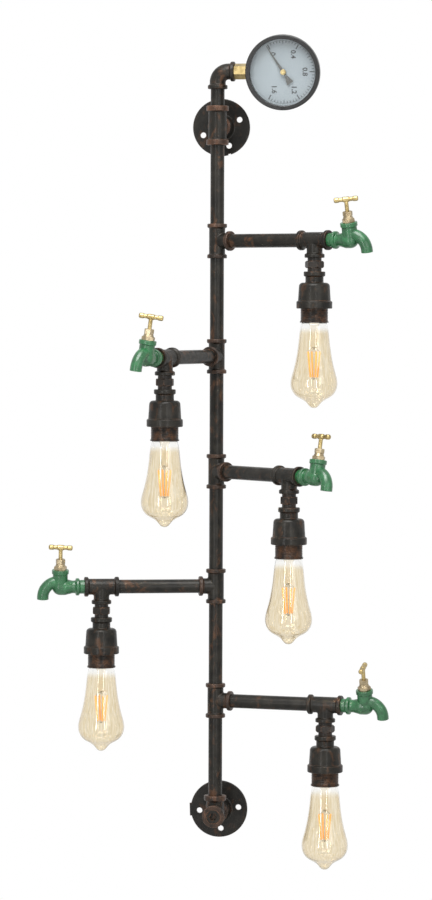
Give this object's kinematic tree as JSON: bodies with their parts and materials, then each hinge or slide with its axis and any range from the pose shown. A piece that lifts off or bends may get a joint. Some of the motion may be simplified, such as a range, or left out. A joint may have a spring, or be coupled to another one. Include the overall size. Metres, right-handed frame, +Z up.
{
  "type": "industrial pipe wall light",
  "caption": "Wall light made of iron pipe and fittings: an upright riser on wall flanges, a pressure gauge on top, and arms that each end in a garden tap with a lamp hanging below.",
  "frame": {"origin": "centre of the upper wall flange on its back face, in the plane of the wall", "axes": "+Y into the wall, +Z up along the riser, +X to the right as seen from the room"},
  "size_m": [0.5098, 0.3045, 1.2023],
  "materials": {
    "dark_iron": "blackened iron, rubbed to bronze at its edges",
    "copper_iron": "aged copper-bronze plate over iron, worn dark in places",
    "green_enamel": "glossy green enamel",
    "brass": "satin brass",
    "black_bezel": "satin black enamel",
    "dial_face": "matte pale blue-grey print",
    "pointer": "matte black",
    "clear_glass": "clear polished",
    "amber_glass": "amber tint, clear at the neck",
    "filament": "orange phosphor on slender strips",
    "bulb_cap": "satin",
    "holder_black": "moulded phenolic, satin black",
    "ceramic": "unglazed porcelain",
    "lead": "black silicone sleeve",
    "packing": "waxed fibre"
  },
  "bodies": {
    "root": {"arm_pipes": "dark_iron", "arm_tees": "dark_iron", "bell_reducers": "dark_iron", "centre_contacts": "brass", "end_plug": "dark_iron", "gauge_bezel": "black_bezel", "gauge_bourdon_tube": "brass", "gauge_case": "black_bezel", "gauge_dial": "dial_face", "gauge_elbow": "copper_iron", "gauge_movement": "brass", "gauge_pipe": "dark_iron", "gauge_socket": "brass", "gauge_window": "clear_glass", "hex_nipples": "dark_iron", "lamp_leads": "lead", "lampholder_cores": "ceramic", "lampholder_shells": "holder_black", "riser_pipes": "dark_iron", "riser_tee_1": "dark_iron", "riser_tee_2": "dark_iron", "riser_tee_3": "dark_iron", "riser_tee_4": "dark_iron", "riser_tee_5": "dark_iron", "screw_shells": "brass", "tap_bodies": "green_enamel", "tap_bonnets": "brass", "tap_gland_nuts": "brass", "tap_packings": "packing", "wall_flange_lower": "dark_iron", "wall_flange_upper": "dark_iron", "wall_nipples": "dark_iron", "wall_tee_lower": "dark_iron", "wall_tee_upper": "copper_iron"},
    "bulb_1": {"bulb_glass_1": "amber_glass", "bulb_cap_1": "bulb_cap", "bulb_filament_1": "filament"},
    "jumper_1": {"tap_jumper_1": "brass"},
    "spindle_1": {"tap_spindle_1": "brass"},
    "bulb_2": {"bulb_glass_2": "amber_glass", "bulb_cap_2": "bulb_cap", "bulb_filament_2": "filament"},
    "jumper_2": {"tap_jumper_2": "brass"},
    "spindle_2": {"tap_spindle_2": "brass"},
    "bulb_3": {"bulb_glass_3": "amber_glass", "bulb_cap_3": "bulb_cap", "bulb_filament_3": "filament"},
    "jumper_3": {"tap_jumper_3": "brass"},
    "spindle_3": {"tap_spindle_3": "brass"},
    "bulb_4": {"bulb_glass_4": "amber_glass", "bulb_cap_4": "bulb_cap", "bulb_filament_4": "filament"},
    "jumper_4": {"tap_jumper_4": "brass"},
    "spindle_4": {"tap_spindle_4": "brass"},
    "bulb_5": {"bulb_glass_5": "amber_glass", "bulb_cap_5": "bulb_cap", "bulb_filament_5": "filament"},
    "jumper_5": {"tap_jumper_5": "brass"},
    "spindle_5": {"tap_spindle_5": "brass"},
    "pointer": {"gauge_pointer": "pointer"}
  },
  "joints": [
    {"name": "tap_lift_1", "type": "slide", "parent": "root", "child": "jumper_1", "axis": [-0.1056, -0.1986, 0.9744], "range_m": [0, 0.0036]},
    {"name": "tap_turn_1", "type": "hinge", "parent": "jumper_1", "child": "spindle_1", "pos_m": [0.20043, -0.16657, -0.167], "axis": [-0.1056, -0.1986, 0.9744], "range_deg": [0, 722]},
    {"name": "bulb_turn_1", "type": "hinge", "parent": "root", "child": "bulb_1", "pos_m": [0.14745, -0.1384, -0.287], "axis": [0, 0, -1], "range_deg": [0, 1080]},
    {"name": "tap_lift_2", "type": "slide", "parent": "root", "child": "jumper_2", "axis": [0.1389, -0.0506, 0.989], "range_m": [0, 0.0036]},
    {"name": "tap_turn_2", "type": "hinge", "parent": "jumper_2", "child": "spindle_2", "pos_m": [-0.07764, -0.27331, -0.334], "axis": [0.1389, -0.0506, 0.989], "range_deg": [0, 722]},
    {"name": "bulb_turn_2", "type": "hinge", "parent": "root", "child": "bulb_2", "pos_m": [-0.05712, -0.21693, -0.454], "axis": [0, 0, -1], "range_deg": [0, 1080]},
    {"name": "tap_lift_3", "type": "slide", "parent": "root", "child": "jumper_3", "axis": [0.1063, 0.1027, 0.989], "range_m": [0, 0.0036]},
    {"name": "tap_turn_3", "type": "hinge", "parent": "jumper_3", "child": "spindle_3", "pos_m": [0.15769, -0.22329, -0.501], "axis": [0.1063, 0.1027, 0.989], "range_deg": [0, 722]},
    {"name": "bulb_turn_3", "type": "hinge", "parent": "root", "child": "bulb_3", "pos_m": [0.11601, -0.18013, -0.621], "axis": [0, 0, -1], "range_deg": [0, 1080]},
    {"name": "tap_lift_4", "type": "slide", "parent": "root", "child": "jumper_4", "axis": [0.0313, -0.1356, 0.9903], "range_m": [0, 0.0036]},
    {"name": "tap_turn_4", "type": "hinge", "parent": "jumper_4", "child": "spindle_4", "pos_m": [-0.22118, -0.11106, -0.668], "axis": [0.0313, -0.1356, 0.9903], "range_deg": [0, 722]},
    {"name": "bulb_turn_4", "type": "hinge", "parent": "root", "child": "bulb_4", "pos_m": [-0.16272, -0.09757, -0.788], "axis": [0, 0, -1], "range_deg": [0, 1080]},
    {"name": "tap_lift_5", "type": "slide", "parent": "root", "child": "jumper_5", "axis": [-0.0524, -0.2362, 0.9703], "range_m": [0, 0.0036]},
    {"name": "tap_turn_5", "type": "hinge", "parent": "jumper_5", "child": "spindle_5", "pos_m": [0.22162, -0.10913, -0.835], "axis": [-0.0524, -0.2362, 0.9703], "range_deg": [0, 722]},
    {"name": "bulb_turn_5", "type": "hinge", "parent": "root", "child": "bulb_5", "pos_m": [0.16304, -0.09615, -0.955], "axis": [0, 0, -1], "range_deg": [0, 1080]},
    {"name": "pointer_turn", "type": "hinge", "parent": "root", "child": "pointer", "pos_m": [0.0983, -0.06774, 0.0776], "axis": [0.0775, 0.9846, 0.1564], "range_deg": [0, 257], "stiffness_Nm_per_rad": 0.004, "springref_deg": -11.46}
  ],
  "couplings": [
    {"joint": "tap_turn_1", "follows": "tap_lift_1", "rad_per_m": 3490.7},
    {"joint": "tap_turn_2", "follows": "tap_lift_2", "rad_per_m": 3490.7},
    {"joint": "tap_turn_3", "follows": "tap_lift_3", "rad_per_m": 3490.7},
    {"joint": "tap_turn_4", "follows": "tap_lift_4", "rad_per_m": 3490.7},
    {"joint": "tap_turn_5", "follows": "tap_lift_5", "rad_per_m": 3490.7}
  ]
}
